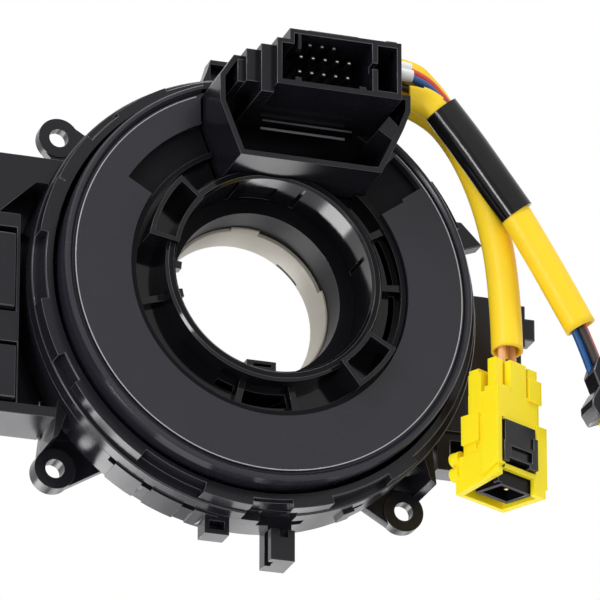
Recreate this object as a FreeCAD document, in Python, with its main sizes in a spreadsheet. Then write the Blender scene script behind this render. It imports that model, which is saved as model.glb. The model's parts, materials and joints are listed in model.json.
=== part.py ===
import FreeCAD, Part
import Sketcher
import math
import os

# Steering clock spring. X is to the right, Z is up and the steering wheel is towards -Y.
# Every piece is drawn from the rotor's face at Y = 0 and placed so that the screw plane is Y = 0.
Vector = FreeCAD.Vector
Rotation = FreeCAD.Rotation
Placement = FreeCAD.Placement
doc = FreeCAD.newDocument("steering_clock_spring")

SIZES = (
    ("mount_depth", 28.6, "rotor face to the screw plane"),
    ("disc_inner_r", 29.4, "flat face, inner radius"),
    ("disc_t", 2.0, "face plate thickness"),
    ("rim_w", 2.35, "rounded rim, width"),
    ("rim_clear", 0.75, "rotor rim to the cover flange"),
    ("rim_rise", 0.4, "rim above the face"),
    ("skirt_depth", 8.8, "rim's skirt, back edge"),
    ("hub_flange_r", 36.5, "hub flange under the plate"),
    ("hub_flange_t", 1.6, "hub flange thickness"),
    ("channel_r", 28.1, "channel, outer radius"),
    ("channel_depth", 3.6, "channel floor below the face"),
    ("channel_t", 1.5, "channel floor thickness"),
    ("collar_r", 22.9, "collar, outer radius"),
    ("collar_bore_r", 20.8, "collar, inner radius"),
    ("collar_rise", 2.7, "collar above the face"),
    ("ledge_depth", 9.0, "ledge inside the bore"),
    ("ledge_t", 1.5, "ledge thickness"),
    ("neck_r", 19.2, "hub neck that runs in the case"),
    ("neck_bore_r", 17.7, "hub neck, inner radius"),
    ("neck_depth", 26.6, "hub neck, back edge"),
    ("run_gap", 0.05, "radial running clearance"),
    ("sleeve_wall", 0.8, "guide sleeve, wall"),
    ("sleeve_front", 16.5, "guide sleeve, front edge"),
    ("sleeve_back", 25.2, "guide sleeve, back edge"),
    ("case_r", 47.3, "case wall, outer radius"),
    ("case_wall", 3.2, "case wall thickness"),
    ("case_front", 13.0, "case wall, front edge"),
    ("case_shoulder", 21.2, "case wall, back edge"),
    ("drum_step", 3.8, "case wall to the narrower back"),
    ("case_back", 27.0, "case back"),
    ("plate_t", 1.7, "case back plate thickness"),
    ("cover_proud", 0.1, "cover band outside the case wall"),
    ("flange_step", 1.7, "cover flange inside the band"),
    ("flange_w", 1.6, "cover flange width"),
    ("cover_front", 5.3, "cover flange, front face"),
    ("band_depth", 4.0, "cover flange to the band's front edge"),
    ("cover_t", 1.5, "cover wall thickness"),
    ("ear_x", 37.3, "screw hole from the centre, sideways"),
    ("ear_z", 36.5, "screw hole from the centre, upwards"),
    ("ear_hole_r", 2.0, "screw hole radius"),
    ("ear_r", 4.3, "screw boss radius"),
    ("ear_t", 2.6, "ear thickness"),
    ("tub_front", -11.0, "tub rim"),
    ("tub_wall", 1.1, "tub wall"),
    ("tub_floor", 7.8, "tub floor"),
    ("tub_back", 4.4, "back of the tub outside the case"),
    ("shroud_front", -17.0, "pin shroud rim"),
    ("shroud_back", 3.4, "pin shroud back"),
    ("shroud_floor", -4.0, "pin shroud floor"),
    ("shroud_wall", 1.0, "pin shroud wall"),
    ("pin_side", 0.64, "pin, across"),
    ("pin_pitch", 2.56, "pin to pin"),
    ("pin_tip", -14.6, "pin tips"),
    ("tube_r", 3.25, "yellow tube, outer radius"),
    ("tube_bore_r", 2.7, "yellow tube, inner radius"),
    ("sleeve_tape_r", 3.75, "black shrink sleeve, outer radius"),
    ("wire_r", 0.85, "wire radius"),
    ("plug_w", 12.4, "airbag plug, width"),
    ("plug_d", 8.6, "airbag plug, depth"),
    ("plug_h", 25.8, "airbag plug, height"),
)

sheet = doc.addObject("Spreadsheet::Sheet", "Sizes")
for line, (name, number, note) in enumerate(SIZES, 1):
    sheet.set("A%d" % line, name)
    sheet.set("B%d" % line, "%g" % number)
    sheet.set("C%d" % line, note)
    sheet.setAlias("B%d" % line, name)
doc.recompute()


class Size:
    """A length in mm together with its cell formula."""

    def __init__(self, number, text):
        self.number = number
        self.text = text

    def __add__(self, other):
        other = size(other)
        return Size(self.number + other.number, "(%s + %s)" % (self.text, other.text))

    def __sub__(self, other):
        other = size(other)
        return Size(self.number - other.number, "(%s - %s)" % (self.text, other.text))

    def __mul__(self, other):
        other = size(other)
        return Size(self.number * other.number, "(%s * %s)" % (self.text, other.text))

    def __neg__(self):
        return Size(-self.number, "(0 - %s)" % self.text)

    __radd__ = __add__
    __rmul__ = __mul__

    def __rsub__(self, other):
        return size(other) - self


def size(value):
    if isinstance(value, Size):
        return value
    return Size(float(value), "%.6g" % float(value))


class Cells:
    """The sheet's values by name."""

    def __getattr__(self, name):
        return Size(float(sheet.get(name)), "Sizes." + name)


s = Cells()
RADIAL_TO_Y = Rotation(Vector(1, 0, 0), -90)
nodes = []

# Radii that follow from one another, from the case inwards
case_inner_r = s.case_r - s.case_wall
drum_r = s.case_r - s.drum_step
cover_r = s.case_r + s.cover_proud
flange_r = cover_r - s.flange_step
cover_inner_r = flange_r - s.flange_w
rim_r = cover_inner_r - s.rim_clear
disc_r = rim_r - s.rim_w
sleeve_bore_r = s.neck_bore_r - s.sleeve_wall
band_front = s.cover_front + s.band_depth
spigot_front = band_front + s.cover_t + 0.2


def drive(item, field, value):
    """Bind a field of an object to a formula."""
    item.setExpression(field, size(value).text)


def fresh(kind, name):
    return doc.addObject(kind, name)


def set_base(item, x=None, y=None, z=None):
    for axis, value in (("x", x), ("y", y), ("z", z)):
        if value is not None:
            drive(item, ".Placement.Base." + axis, value)


def box(name, x, y, z):
    """A block between pairs of X, Y and Z."""
    item = fresh("Part::Box", name)
    for field, pair in (("Length", x), ("Width", y), ("Height", z)):
        drive(item, field, size(pair[1]) - pair[0])
    set_base(item, x[0], y[0], z[0])
    return item


def rod(name, radius, y, x=0.0, z=0.0, start=0.0, sweep=360.0):
    """A cylinder along Y, or a wedge of it from one angle, counted from X towards Z."""
    item = fresh("Part::Cylinder", name)
    turned = RADIAL_TO_Y.multiply(Rotation(Vector(0, 0, 1), -(start + sweep)))
    item.Placement = Placement(Vector(0, 0, 0), turned)
    drive(item, "Radius", radius)
    drive(item, "Height", size(y[1]) - y[0])
    item.Angle = sweep
    set_base(item, x, y[0], z)
    return item


def cut(name, base, tools):
    if len(tools) > 1:
        tool = fuse(name + "_tools", tools)
    else:
        tool = tools[0]
    item = fresh("Part::Cut", name)
    item.Base = base
    item.Tool = tool
    return item


def fuse(name, parts):
    item = fresh("Part::MultiFuse", name)
    item.Shapes = parts
    item.Refine = True
    return item


def common(name, parts):
    item = fresh("Part::MultiCommon", name)
    item.Shapes = parts
    return item


def arc_block(name, inner, outer, y, start, sweep):
    """A curved block between two radii."""
    whole = rod(name + "_out", outer, y, start=start, sweep=sweep)
    return cut(name, whole, [rod(name + "_in", inner, (size(y[0]) - 1, size(y[1]) + 1))])


def outline(sketch, points):
    """A closed outline whose corners are held by formulas."""
    corners = [(size(a), size(b)) for a, b in points]
    ends = corners[1:] + corners[:1]
    for (a, b), (c, d) in zip(corners, ends):
        first = Vector(a.number, b.number, 0)
        last = Vector(c.number, d.number, 0)
        sketch.addGeometry(Part.LineSegment(first, last), False)
    count = len(corners)
    for index in range(count):
        sketch.addConstraint(Sketcher.Constraint("Coincident", index, 2, (index + 1) % count, 1))
    for index, (a, b) in enumerate(corners):
        for kind, value in (("DistanceX", a), ("DistanceY", b)):
            if abs(value.number) < 1e-6 and "Sizes" not in value.text:
                axis = -2 if kind == "DistanceX" else -1
                sketch.addConstraint(Sketcher.Constraint("PointOnObject", index, 1, axis))
                continue
            rule = Sketcher.Constraint(kind, -1, 1, index, 1, value.number)
            place = sketch.addConstraint(rule)
            if "Sizes" in value.text:
                label = "%s%d" % (kind, index)
                sketch.renameConstraint(place, label)
                sketch.setExpression("Constraints." + label, value.text)


def turned(name, points):
    """A PartDesign body turned about Y from a section of radius and Y."""
    body = fresh("PartDesign::Body", name)
    sketch = body.newObject("Sketcher::SketchObject", name + "_section")
    plane = [f for f in body.Origin.OriginFeatures if f.Role == "XY_Plane"][0]
    sketch.AttachmentSupport = [(plane, "")]
    sketch.MapMode = "FlatFace"
    outline(sketch, points)
    turn = body.newObject("PartDesign::Revolution", name + "_turn")
    turn.Profile = sketch
    turn.ReferenceAxis = (sketch, ["V_Axis"])
    turn.Angle = 360.0
    body.Tip = turn
    sketch.Visibility = False
    return body


def prism(name, points, y):
    """An outline in X and Z carried along Y."""
    sketch = fresh("Sketcher::SketchObject", name + "_outline")
    sketch.Placement = Placement(Vector(0, 0, 0), Rotation(Vector(1, 0, 0), 90))
    outline(sketch, points)
    drive(sketch, ".Placement.Base.y", y[0])
    item = fresh("Part::Extrusion", name)
    item.Base = sketch
    item.DirMode = "Custom"
    item.Dir = Vector(0, 1, 0)
    drive(item, "LengthFwd", size(y[1]) - y[0])
    item.Solid = True
    return item


def node(name, item, base=(0.0, 0.0, 0.0)):
    """Name a finished piece and set it on the screw plane."""
    item.Label = name
    set_base(item, base[0], size(base[1]) - s.mount_depth, base[2])
    nodes.append((name, item))
    return item


def shaped(name, shape):
    item = fresh("Part::Feature", name)
    item.Shape = shape
    return item


# Rotor face plate: flat face, thin groove, rounded rim and skirt
plate = turned("face_plate", (
    (s.disc_inner_r, 0.0),
    (disc_r, 0.0),
    (disc_r + 0.1, 0.6),
    (disc_r + 0.5, 0.6),
    (disc_r + 0.85, 0.0),
    (rim_r - 1.1, -s.rim_rise),
    (rim_r - 0.5, -s.rim_rise),
    (rim_r - 0.15, 0.1),
    (rim_r, 2.4),
    (rim_r - 0.4, 2.7),
    (rim_r - 0.4, s.skirt_depth),
    (rim_r - 1.4, s.skirt_depth),
    (rim_r - 1.4, s.disc_t),
    (s.disc_inner_r, s.disc_t),
))
TUB = (
    (-10.0, 21.4),
    (19.9, 21.4),
    (24.6, 31.5),
    (26.2, 35.8),
    (26.2, 39.4),
    (22.2, 39.4),
    (22.2, 43.0),
    (-11.6, 43.0),
    (-14.5, 38.3),
    (-14.4, 32.6),
)
TUB_CLEAR = (
    (-10.6, 21.1),
    (20.3, 21.1),
    (25.2, 31.3),
    (26.9, 35.6),
    (26.9, 50.0),
    (-12.3, 50.0),
    (-15.1, 38.3),
    (-15.0, 32.5),
)
step_cut = rod("step_cut", 35.2, (-1.0, s.disc_t + 1.0), start=36.0, sweep=113.0)
side_cut = arc_block("side_cut", 20.0, disc_r - 0.7, (-1.0, s.disc_t + 1.0), 37.0, 12.0)
tub_cut = prism("tub_cut", TUB_CLEAR, (-2.0, s.tub_back + 0.2))
node("rotor_disc", cut("rotor_disc", plate, [step_cut, side_cut, tub_cut]))

# Rotor hub: flange, channel, collar, bore wall and neck in one moulding
hub = turned("hub_turning", (
    (s.collar_bore_r, 0.6 - s.collar_rise),
    (s.collar_bore_r + 0.5, -s.collar_rise),
    (s.collar_r - 0.5, -s.collar_rise),
    (s.collar_r, 0.5 - s.collar_rise),
    (s.collar_r, s.channel_depth),
    (s.channel_r, s.channel_depth),
    (s.channel_r, 0.8),
    (s.disc_inner_r - 0.3, 0.8),
    (s.disc_inner_r - 0.3, s.disc_t),
    (s.hub_flange_r, s.disc_t),
    (s.hub_flange_r, s.disc_t + s.hub_flange_t),
    (s.disc_inner_r - 0.3, s.disc_t + s.hub_flange_t),
    (s.disc_inner_r - 0.3, s.channel_depth + s.channel_t),
    (s.collar_r - 0.3, s.channel_depth + s.channel_t),
    (s.collar_r - 0.3, s.ledge_depth + s.ledge_t),
    (s.neck_r, s.ledge_depth + s.ledge_t),
    (s.neck_r, s.neck_depth),
    (s.neck_bore_r, s.neck_depth),
    (s.neck_bore_r, s.ledge_depth),
    (s.collar_bore_r, s.ledge_depth),
))
hub_adds = [hub]
hub_cuts = []
for label, start, sweep, inner, outer in (
    ("upper_pocket", 138.0, 32.0, 20.9, 27.2),
    ("lower_pocket", -52.0, 24.0, 22.0, 28.6),
):
    hub_adds.append(arc_block(label, inner, outer, (-4.0, s.channel_depth + s.channel_t), start, sweep))
    hub_cuts.append(arc_block(label + "_hollow", inner + 0.9, outer - 0.9,
                              (-5.0, s.channel_depth), start + 2.0, sweep - 4.0))
for label, start, sweep, inner, outer in (
    ("right_slot_a", 6.0, 22.0, 26.3, 27.5),
    ("right_slot_b", -20.0, 22.0, 26.3, 27.5),
    ("lower_window", -101.0, 21.0, 23.7, 26.6),
    ("lower_slot", -115.0, 9.0, 23.7, 25.2),
):
    hub_cuts.append(arc_block(label, inner, outer, (0.0, 8.0), start, sweep))
for label, start in (("rib_a", 28.5), ("rib_b", 2.5), ("rib_c", -105.0), ("rib_d", -79.5), ("rib_e", 195.0)):
    hub_adds.append(arc_block(label, s.collar_r - 0.2, s.channel_r + 0.2,
                              (1.4, s.channel_depth + 0.5), start, 3.0))
for label, start in (("bore_slot_a", 70.0), ("bore_slot_b", 109.0),
                     ("bore_slot_c", 18.0), ("bore_slot_d", -40.0)):
    hub_cuts.append(arc_block(label, 20.0, s.collar_bore_r + 0.7, (-1.2, 8.0), start, 2.4))
hub_cuts.append(arc_block("bore_pocket", 20.0, s.collar_bore_r + 1.2, (2.0, 8.0), 84.0, 18.0))
hub_adds.append(arc_block("side_floor", s.hub_flange_r - 0.5, disc_r - 0.9,
                          (s.disc_t, s.disc_t + s.hub_flange_t), 34.0, 20.0))
for label, start, sweep, inner in (("tab_a", 172.0, 5.0, 17.9), ("tab_b", 190.5, 5.5, 17.9),
                                   ("stop", -82.0, 7.0, 19.6)):
    hub_adds.append(arc_block(label, inner, s.collar_bore_r + 0.2, (3.2, 5.4), start, sweep))
hub_adds.append(box("clip_frame", (-4.6, 1.6), (1.4, 3.6), (-21.0, -17.5)))
hub_cuts.append(box("clip_slot", (-3.2, 0.6), (0.0, 5.0), (-18.8, -18.1)))
hub_cuts.append(prism("hub_tub_cut", TUB_CLEAR, (-20.0, 8.0)))
hub_whole = fuse("hub_whole", hub_adds)
hub_open = cut("hub_open", hub_whole, hub_cuts)

# Tub: six-sided rim in front, with a well sunk behind the face
TUB_INNER = (
    (-9.3, s.tub_wall + 21.4),
    (19.2, s.tub_wall + 21.4),
    (24.6 - s.tub_wall, 31.8),
    (26.2 - s.tub_wall, 36.0),
    (26.2 - s.tub_wall, 39.4 - s.tub_wall),
    (22.2 - s.tub_wall, 39.4 - s.tub_wall),
    (22.2 - s.tub_wall, 43.0 - s.tub_wall),
    (-11.0, 43.0 - s.tub_wall),
    (s.tub_wall - 14.5, 38.0),
    (s.tub_wall - 14.4, 32.8),
)
tub_front = prism("tub_front", TUB, (s.tub_front, s.tub_back))
well_shape = prism("well_shape", TUB, (1.0, s.tub_floor + 1.5))
well_limit = rod("well_limit", disc_r + 0.6, (0.0, s.tub_floor + 3.0))
well = common("well", [well_shape, well_limit])
tub_all = fuse("tub_all", [tub_front, well])
hollow_shape = prism("hollow_shape", TUB_INNER, (s.tub_front - 1.0, s.tub_floor))
hollow_limit = rod("hollow_limit", disc_r - 0.6, (s.tub_front - 2.0, s.tub_floor + 1.0))
hollow_back = common("hollow_back", [hollow_shape, hollow_limit])
hollow_front = prism("hollow_front", TUB_INNER, (s.tub_front - 1.0, 3.0))
shroud_room = box("shroud_room", (-4.4, 22.2), (s.tub_front - 1.0, s.shroud_back), (35.3, 44.0))
flute_room = box("flute_room", (-9.6, -4.4), (s.tub_front - 1.0, s.shroud_back - 0.4), (41.9, 44.0))
facet = prism("tub_facet", ((19.3, 31.0), (21.6, 34.2), (23.9, 32.0), (22.3, 29.0)), (s.tub_front + 0.2, 3.2))
ridge = box("tub_ridge", (-4.0, 18.0), (s.tub_floor - 1.0, s.tub_floor + 0.2), (29.2, 29.9))
tub_open = cut("tub_open", tub_all, [hollow_back, hollow_front])
tub_ribbed = fuse("tub_ribbed", [tub_open, facet, ridge])
node("connector_tub", cut("connector_tub", tub_ribbed, [shroud_room, flute_room]))
hub_well_room = common("hub_well_room", [prism("hub_well_shape", TUB, (-12.0, 12.0)),
                                          rod("hub_well_limit", disc_r + 0.7, (-13.0, 13.0))])
node("rotor_hub", cut("rotor_hub", hub_open, [hub_well_room]))

# Pin shroud: socket with thirteen pins, side pocket, corner step and flutes
shroud_outer = prism("shroud_outer", (
    (-4.4, 35.3),
    (22.2, 35.3),
    (22.2, 47.8),
    (-1.7, 47.8),
    (-1.7, 45.4),
    (-4.4, 45.4),
), (s.shroud_front, s.shroud_back))
flute_a = box("flute_a", (-7.1, -4.4), (-15.0, s.shroud_back - 0.4), (41.9, 44.5))
flute_b = box("flute_b", (-9.6, -7.1), (-13.0, s.shroud_back - 0.4), (41.9, 43.9))
flute_c = box("flute_c", (-7.1, -4.4), (-15.0, 2.6), (34.0, 41.9))
flute_d = box("flute_d", (-9.6, -7.1), (-13.0, 2.6), (36.8, 41.9))
cheek = box("cheek", (-11.0, -9.6), (-11.6, 2.6), (37.0, 41.9))
socket_hollow = prism("socket_hollow", (
    (s.shroud_wall - 4.3, s.shroud_wall + 35.4),
    (15.9, s.shroud_wall + 35.4),
    (15.9, 47.8 - s.shroud_wall),
    (s.shroud_wall - 1.7, 47.8 - s.shroud_wall),
    (s.shroud_wall - 1.7, 45.4 - s.shroud_wall),
    (s.shroud_wall - 4.3, 45.4 - s.shroud_wall),
), (s.shroud_front - 1.0, s.shroud_floor))
pocket_hollow = box("pocket_hollow", (17.1, 22.2 - s.shroud_wall), (s.shroud_front - 1.0, -5.0), (36.7, 46.6))
divider_gap = box("divider_gap", (15.5, 17.5), (s.shroud_front - 1.0, -14.5), (41.3, 42.6))
shroud = fuse("shroud_solid", [shroud_outer, flute_a, flute_b, flute_c, flute_d, cheek])
node("pin_shroud", cut("pin_shroud", shroud, [socket_hollow, pocket_hollow, divider_gap]))

pins = []
for row, (height, first, count) in enumerate(((39.6, 1.2, 5), (42.9, 1.5, 5), (45.7, 3.4, 3))):
    for place in range(count):
        x = first + s.pin_pitch * place
        z = size(height)
        pins.append(box("pin_%d_%d" % (row, place), (x - s.pin_side * 0.5, x + s.pin_side * 0.5),
                        (s.pin_tip, s.shroud_floor), (z - s.pin_side * 0.5, z + s.pin_side * 0.5)))
pin_set = fresh("Part::Compound", "pin_set")
pin_set.Links = pins
node("shroud_pins", pin_set)

# Guide sleeve at the back of the bore, with its stepped front edge
sleeve = turned("sleeve_turning", (
    (sleeve_bore_r, s.sleeve_front + 1.4),
    (sleeve_bore_r + 0.4, s.sleeve_front),
    (s.neck_bore_r, s.sleeve_front),
    (s.neck_bore_r, s.sleeve_back),
    (sleeve_bore_r, s.sleeve_back),
))
sleeve_steps = [
    arc_block("sleeve_step_a", 14.0, s.neck_bore_r + 1.0,
              (s.sleeve_front - 1.0, s.sleeve_front + 1.2), 20.0, 60.0),
    arc_block("sleeve_step_b", 14.0, s.neck_bore_r + 1.0,
              (s.sleeve_front - 1.0, s.sleeve_front + 0.7), 100.0, 50.0),
    arc_block("sleeve_step_c", 14.0, s.neck_bore_r + 1.0,
              (s.sleeve_front - 1.0, s.sleeve_front + 1.2), -70.0, 30.0),
    arc_block("sleeve_end_a", 14.0, s.neck_bore_r + 1.0,
              (s.sleeve_back - 0.9, s.sleeve_back + 1.0), 36.0, 20.0),
]
node("guide_sleeve", cut("guide_sleeve", sleeve, sleeve_steps))

# Cover ring: narrow flange with wide teeth in front, and the outer band
band_inner = cover_r - s.cover_t
cover = turned("cover_turning", (
    (cover_inner_r, s.cover_front),
    (flange_r - 0.2, s.cover_front),
    (flange_r, s.cover_front + 0.2),
    (flange_r, band_front),
    (cover_r - 0.2, band_front),
    (cover_r, band_front + 0.2),
    (cover_r, s.case_front - 0.25),
    (band_inner, s.case_front - 0.25),
    (band_inner, band_front + s.cover_t),
    (flange_r - 1.1, band_front + s.cover_t),
    (flange_r - 1.1, s.cover_front + s.cover_t),
    (cover_inner_r, s.cover_front + s.cover_t),
))
TEETH = (
    (117.0, 15.5, 0.6),
    (142.8, 14.0, 1.15),
    (157.0, 15.2, 1.5),
    (190.2, 15.0, 1.5),
    (213.0, 24.4, 0.95),
    (255.0, 12.8, 1.3),
    (278.2, 10.8, 1.4),
    (306.0, 8.6, 1.3),
    (24.0, 14.0, 0.8),
)
cover_adds = [cover]
for place, (start, sweep, reach) in enumerate(TEETH):
    cover_adds.append(arc_block("tooth_%d" % place, flange_r - 0.6, flange_r + reach,
                                (s.cover_front, band_front + 0.5), start, sweep))
cover_cuts = [
    arc_block("open_slot", flange_r - 0.8, cover_r + 1.5,
              (s.cover_front - 1.0, s.cover_front + 2.6), 237.4, 17.6),
    arc_block("lower_step", flange_r - 0.4, cover_r + 1.5,
              (s.cover_front - 1.0, s.cover_front + 1.2), 267.8, 10.4),
    arc_block("foot_gate", band_inner - 0.3, cover_r + 1.5, (band_front - 1.0, s.case_front), -92.5, 13.0),
]
node("stator_cover", cut("stator_cover", fuse("cover_solid", cover_adds), cover_cuts))

# Case: wall, shoulder and back plate turned in one, with ears, foot and clip pockets
case = turned("case_turning", (
    (s.neck_r + s.run_gap, s.case_back - s.plate_t),
    (drum_r - 1.7, s.case_back - s.plate_t),
    (drum_r - 1.7, s.case_shoulder + 2.0),
    (case_inner_r, s.case_shoulder - 0.5),
    (case_inner_r, spigot_front),
    (band_inner - 0.05, spigot_front),
    (band_inner - 0.05, s.case_front),
    (s.case_r, s.case_front),
    (s.case_r, s.case_shoulder),
    (drum_r, s.case_shoulder + 2.6),
    (drum_r, s.case_back),
    (s.neck_r + s.run_gap, s.case_back),
))
case_adds = [case]
case_cuts = []
for label, sx, sz, front in (
    ("ear_upper_left", -1.0, 1.0, 26.0),
    ("ear_lower_left", -1.0, -1.0, 24.8),
    ("ear_lower_right", 1.0, -1.0, 25.8),
    ("ear_upper_right", 1.0, 1.0, 26.0),
):
    x = s.ear_x * sx
    z = s.ear_z * sz
    case_adds.append(rod(label, s.ear_r, (front, s.mount_depth), x, z))
    arm = prism(label + "_arm", (
        (x + s.ear_r * (0.7 * sx), z - s.ear_r * (0.7 * sz)),
        (x - s.ear_r * (0.7 * sx), z + s.ear_r * (0.7 * sz)),
        ((drum_r - 1.3) * (0.592 * sx), (drum_r - 1.3) * (0.806 * sz)),
        ((drum_r - 8.8) * (0.693 * sx), (drum_r - 8.8) * (0.721 * sz)),
        ((drum_r - 2.1) * (0.797 * sx), (drum_r - 2.1) * (0.604 * sz)),
    ), (s.mount_depth - s.ear_t + 0.3, s.mount_depth))
    case_adds.append(arm)
    if sz < 0.0:
        web = prism(label + "_web", (
            (x + s.ear_r * (0.78 * sx), z + s.ear_r * 0.6),
            (x + s.ear_r * (0.5 * sx), z + s.ear_r * 0.8),
            ((drum_r + 0.3) * (0.836 * sx), (drum_r + 0.3) * (0.549 * sz)),
            ((s.case_r - 1.0) * (0.855 * sx), (s.case_r - 1.0) * (0.518 * sz)),
        ), (s.case_shoulder - 6.0, s.mount_depth - 1.0))
        case_adds.append(web)
    case_cuts.append(rod(label + "_hole", s.ear_hole_r, (front - 2.0, s.mount_depth + 1.0), x, z))
r = s.case_r
foot_block = box("foot_block", (4.5, 9.6), (s.case_front + 0.2, 20.6), (-r - 7.6, -r + 1.3))
foot_groove = box("foot_groove", (3.5, 5.6), (15.0, 17.4), (-r - 8.7, -r - 0.7))
foot_recess = box("foot_recess", (2.0, 11.4), (spigot_front - 1.0, 15.4), (-r - 1.0, -r + 1.9))
foot_stem = box("foot_stem", (6.4, 8.2), (s.case_front, 15.0), (-r - 2.6, -r + 1.3))
pocket_block = box("pocket_block", (-9.0, -3.8), (14.6, 19.2), (-r - 3.1, -r + 1.1))
pocket_hole = box("pocket_hole", (-8.0, -4.8), (14.0, 17.6), (-r - 2.1, -r - 0.3))
loop_block = prism("loop_block", ((-11.2, r - 1.4), (-9.6, r + 2.7), (-8.8, r + 5.5), (-4.4, r + 5.5),
                                  (-4.4, r - 1.4)),
                   (s.case_front + 0.2, 17.0))
loop_hole = box("loop_hole", (-8.8, -5.4), (12.0, 16.0), (r + 0.9, r + 4.5))
case_adds.extend([foot_block, pocket_block, loop_block])
case_cuts.extend([foot_groove, foot_recess, foot_stem, pocket_hole, loop_hole])
for place, (start, sweep) in enumerate(((-126.2, 8.0), (-115.5, 8.3), (-104.0, 6.0))):
    case_adds.append(arc_block("pad_%d" % place, r - 0.5, r + 0.5,
                               (s.case_front + 0.1, s.case_shoulder - 0.4), start, sweep))
for place, (start, sweep) in enumerate(((-128.2, 2.0), (-118.2, 2.7), (-107.2, 3.2), (-62.0, 3.0))):
    case_cuts.append(arc_block("notch_%d" % place, r - 1.2, r + 1.5,
                               (s.case_front - 0.1, s.case_front + 2.0), start, sweep))
for place, start in enumerate((-65.6, 25.4, 60.4, 118.4)):
    case_adds.append(arc_block("hook_%d" % place, r - 0.5, r + 0.8, (s.case_front, 18.0), start, 3.2))
case_whole = fuse("case_whole", case_adds)
node("stator_case", cut("stator_case", case_whole, case_cuts))

# Left bracket: plate with a hooked notch, two framed windows for the sockets and a lower lip
left = -s.case_r
left_limit = rod("left_limit", s.case_r, (s.case_front - 0.2, s.case_shoulder + 2.6))
left_front = rod("left_front", cover_r + 0.1, (5.0, s.case_front - 0.2))
left_back = rod("left_back", drum_r, (s.case_shoulder + 2.6, 35.0))
bracket_block = box("bracket_block", (left - 20.7, left + 13.0), (12.4, 25.6), (-30.6, 25.4))
notch = prism("notch", ((left - 6.2, 12.4), (left - 3.6, 14.9), (left + 1.5, 19.8), (left + 14.0, 19.8),
                        (left + 14.0, 12.4)), (11.0, 22.0))
upper_window = box("upper_window", (left - 19.7, left - 2.3), (11.0, 24.5), (-8.9, 9.4))
lower_window = box("lower_window", (left - 19.7, left - 1.9), (11.0, 24.5), (-28.4, -15.4))
side_gap = box("side_gap", (left - 1.6, left + 14.0), (11.0, 24.0), (-28.4, 12.4))
web_room = box("web_room", (left + 6.2, left + 14.0), (11.0, 27.0), (-32.0, -22.8))
bracket_open = cut("bracket_open", bracket_block, [notch, upper_window, lower_window, side_gap, web_room,
                                                   left_front,
                                                   left_limit, left_back])
node("side_bracket", bracket_open)
upper_block = box("upper_block", (left - 19.3, left - 2.7), (11.4, 24.5), (-8.2, 7.7))
upper_well = box("upper_well", (left - 17.7, left - 8.1), (10.0, 18.0), (-6.4, 6.0))
node("upper_socket", cut("upper_socket", upper_block, [upper_well]))
lower_block = box("lower_block", (left - 19.3, left - 2.3), (11.4, 24.5), (-27.7, -16.6))
lower_well = box("lower_well", (left - 17.7, left - 8.1), (10.0, 18.0), (-26.0, -18.2))
node("lower_socket", cut("lower_socket", lower_block, [lower_well]))

# Right bracket: box behind the yellow tube, wedge above and socket below
right_limit = rod("right_limit", r, (5.0, 35.0))
right_box = box("right_box", (r - 5.3, r + 12.1), (15.0, 25.6), (-22.0, 8.6))
right_wedge = prism("right_wedge", ((r - 4.3, 18.0), (r + 5.0, 21.4), (r + 0.4, 26.1), (r - 7.3, 26.1)),
                    (18.0, 22.0))
right_low = box("right_low", (r - 6.3, r + 1.1), (16.0, 22.0), (-30.2, -22.0))
right_low_hole = box("right_low_hole", (r - 3.3, r - 0.1), (15.0, 20.0), (-29.0, -23.6))
right_all = fuse("right_all", [right_box, right_low])
node("right_bracket", cut("right_bracket", right_all, [right_low_hole, right_limit]))
wedge_limit = rod("wedge_limit", r, (5.0, 35.0))
node("right_wedge_tab", cut("right_wedge_tab", right_wedge, [wedge_limit]))
clip_body = box("clip_body", (r + 12.1, r + 13.5), (16.0, 21.0), (-1.0, 8.2))
clip_head = box("clip_head", (r + 13.5, r + 15.6), (16.0, 21.0), (0.6, 5.4))
node("right_clip", fuse("right_clip", [clip_body, clip_head]))

# Flat cable: a wound ribbon in the chamber between the hub and the case
TURNS = 5
STEPS = 20
pitch = (case_inner_r.number - 28.7) / TURNS
ribbon = []
for side in (0.0, 0.35):
    run = []
    for index in range(TURNS * STEPS + 1):
        angle = 2.0 * math.pi * index / STEPS
        radius = 25.6 + pitch * index / STEPS + side
        run.append(Vector(radius * math.cos(angle), 12.0, radius * math.sin(angle)))
    ribbon.append(run)
ribbon_face = Part.Face(Part.makePolygon(ribbon[0] + ribbon[1][::-1] + [ribbon[0][0]]))
node("flat_cable", shaped("flat_cable", ribbon_face.extrude(Vector(0, 11.0, 0))))


def route(points, label):
    """Straight runs joined by tangent arcs through the inner points."""
    points = [Vector(*p) for p in points]
    edges = []
    start = points[0]
    for before, here, after in zip(points, points[1:], points[2:]):
        back = before - here
        ahead = after - here
        half = 0.5 * (math.pi - back.getAngle(ahead))
        reach = 0.45 * min(back.Length, ahead.Length)
        radius = reach / math.tan(half)
        into = here + back.normalize() * reach
        out = here + ahead.normalize() * reach
        middle_way = (into + out) * 0.5 - here
        middle_way.normalize()
        centre_gap = math.hypot(radius, reach)
        middle = here + middle_way * (centre_gap - radius)
        edges.append(Part.LineSegment(start, into).toShape())
        edges.append(Part.Arc(into, middle, out).toShape())
        print(label, "arc radius", round(radius, 1))
        start = out
    edges.append(Part.LineSegment(start, points[-1]).toShape())
    return Part.Wire(edges)


def tube(name, points, outer, inner=0.0):
    """A round cord or tube along a route."""
    path = route(points, name)
    first = Vector(*points[0])
    along = Vector(*points[1]) - first
    solid = None
    for radius in (outer, inner):
        if radius <= 0.0:
            continue
        ring = Part.Wire([Part.Circle(first, along, radius).toShape()])
        body = path.makePipeShell([ring], True, True)
        area = math.pi * radius * radius
        print(name, "volume over section times length", round(body.Volume / (area * path.Length), 3))
        solid = body if solid is None else solid.cut(body)
    return solid


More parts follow.
